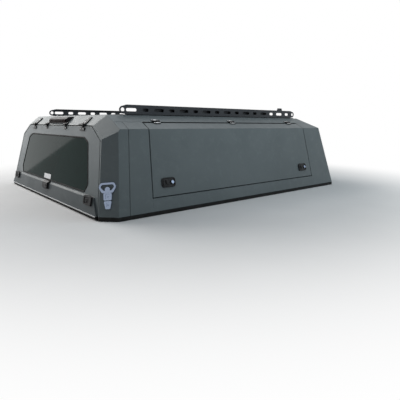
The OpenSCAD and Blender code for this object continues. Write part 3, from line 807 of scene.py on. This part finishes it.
# ---------------------------------------------------------------- camera, light and floor
def make_camera():
    """The photograph's camera, from its angles and place."""
    yaw, pitch, roll = (math.radians(a) for a in (YAW, PITCH, ROLL))
    ahead = Vector((-math.sin(yaw) * math.cos(pitch), math.cos(yaw) * math.cos(pitch),
                    -math.sin(pitch)))
    right = Vector((math.cos(yaw), math.sin(yaw), 0))
    up = right.cross(ahead)
    rolled_right = right * math.cos(roll) + up * math.sin(roll)
    rolled_up = up * math.cos(roll) - right * math.sin(roll)
    data = bpy.data.cameras.new("camera")
    data.sensor_width = SENSOR
    data.lens = FOCAL / PICTURE * SENSOR
    data.shift_y = (AXIS_ROW - PICTURE / 2) / PICTURE
    data.clip_end = 100
    camera = bpy.data.objects.new("camera", data)
    axes = Matrix((rolled_right, rolled_up, -ahead)).transposed().to_4x4()
    camera.matrix_world = at(*CAMERA_AT) @ axes
    bpy.context.scene.collection.objects.link(camera)
    bpy.context.scene.camera = camera


def area_lamp(name, place, aim, size, power, shade, roll=0.0):
    """A rectangular lamp aimed at a point and turned by roll degrees about its beam."""
    data = bpy.data.lights.new(name, "AREA")
    data.shape = "RECTANGLE"
    data.size, data.size_y = size
    data.energy = power
    data.color = shade
    lamp = bpy.data.objects.new(name, data)
    turn = (Vector(aim) - Vector(place)).to_track_quat("-Z", "Y").to_matrix().to_4x4()
    lamp.matrix_world = at(*place) @ turn @ rot(roll, "Z")
    bpy.context.scene.collection.objects.link(lamp)


def background_rays(tree):
    """1 for the rays that show the background: from the camera, a gloss or a clear surface."""
    path = tree.nodes.new("ShaderNodeLightPath")
    value = path.outputs["Is Camera Ray"]
    for name in ("Is Glossy Ray", "Is Transmission Ray"):
        node = tree.nodes.new("ShaderNodeMath")
        node.operation = "MAXIMUM"
        tree.links.new(value, node.inputs[0])
        tree.links.new(path.outputs[name], node.inputs[1])
        value = node.outputs["Value"]
    return value


def mixed(tree, share, first, second, output):
    """Two shaders mixed by share and joined to a tree's output node."""
    mix = tree.nodes.new("ShaderNodeMixShader")
    tree.links.new(share, mix.inputs["Fac"])
    tree.links.new(first, mix.inputs[1])
    tree.links.new(second, mix.inputs[2])
    tree.links.new(mix.outputs["Shader"], tree.nodes[output].inputs["Surface"])


# The card whose long edge shows as the diagonal in the rear glass
CARD_Y, CARD_Z, CARD_ROLL = -1.796, 0.734, 51.7
WHITE = (1, 1, 1, 1)


def make_lamps():
    """A key from the left rear, soft light from above, a cool fill and the reflected card."""
    area_lamp("left_rear", (-3.2, -1.9, 3.0), (0, -0.2, 0.2), (3, 3), 160, (1.0, 0.985, 0.96))
    area_lamp("overhead", (0, 0.2, 4.2), (0, 0, 0), (5, 5), 88, (0.93, 0.96, 1.0))
    area_lamp("right_front", (3.4, 2.6, 2.2), (0.3, 0, 0.2), (3, 2), 48, (0.74, 0.93, 1.0))
    area_lamp("low_card", (-4.0, CARD_Y, CARD_Z), (0, CARD_Y, CARD_Z), (2.4, 1.2), 14, (1, 1, 1),
              CARD_ROLL)


def make_world():
    """Faint cool light all round, and white for the rays that show the background."""
    world = bpy.data.worlds.new("studio")
    bpy.context.scene.world = world
    world.use_nodes = True
    tree = world.node_tree
    light = tree.nodes["Background"]
    light.inputs["Color"].default_value = (0.92, 0.96, 1.0, 1)
    light.inputs["Strength"].default_value = 0.08
    seen = tree.nodes.new("ShaderNodeBackground")
    seen.inputs["Color"].default_value = WHITE
    seen.inputs["Strength"].default_value = 1.0
    mixed(tree, background_rays(tree), light.outputs["Background"], seen.outputs["Background"],
          "World Output")


# The floor's size and the ring in which it turns white, in metres
FLOOR_SIZE = 60
FADE_START, FADE_END = 1.2, 2.4


def floor_paint():
    """Pale floor paint that turns into white background between FADE_START and FADE_END."""
    mat, tree, shader, coord = node_setup("floor_paint")
    grain = spread(tree, noise(tree, coord, 3.0, 5.0), 0, 1)
    tree.links.new(two_tone(tree, grain, (0.69, 0.69, 0.69), (0.72, 0.72, 0.72)),
                   shader.inputs["Base Color"])
    shader.inputs["Roughness"].default_value = 0.9
    shader.inputs["Specular IOR Level"].default_value = 0.012
    away = tree.nodes.new("ShaderNodeVectorMath")
    away.operation = "LENGTH"
    tree.links.new(coord, away.inputs[0])
    fade = tree.nodes.new("ShaderNodeMapRange")
    fade.interpolation_type = "SMOOTHSTEP"
    fade.inputs["From Min"].default_value = FADE_START
    fade.inputs["From Max"].default_value = FADE_END
    tree.links.new(away.outputs["Value"], fade.inputs["Value"])
    share = tree.nodes.new("ShaderNodeMath")
    share.operation = "MULTIPLY"
    tree.links.new(fade.outputs["Result"], share.inputs[0])
    tree.links.new(background_rays(tree), share.inputs[1])
    white = tree.nodes.new("ShaderNodeEmission")
    white.inputs["Color"].default_value = WHITE
    white.inputs["Strength"].default_value = 1.0
    mixed(tree, share.outputs["Value"], shader.outputs["BSDF"], white.outputs["Emission"],
          "Material Output")
    return mat


def make_floor():
    """A pale floor that runs out into the white background."""
    mesh = bpy.data.meshes.new("floor")
    mesh.from_pydata([(x, y, 0) for x, y in oblong(FLOOR_SIZE, FLOOR_SIZE)], [], [(0, 1, 2, 3)])
    mesh.materials.append(floor_paint())
    floor = bpy.data.objects.new("floor", mesh)
    bpy.context.scene.collection.objects.link(floor)


dress_nodes()
left_rail()
crossbars()
slats()
rack_pads()
rack_bolts()
door_opening_seals()
rear_opening_seal()
glass_seals()
side_hinge_plates()
rear_hinge_screws()
side_latch_fittings()
rear_latch_fittings()
handle_fittings()
glass_plate()
lamp_ribs()
opener_screws()
seal_carrier()
make_floor()
make_lamps()
make_world()
make_camera()
bpy.context.scene.view_settings.view_transform = "Standard"
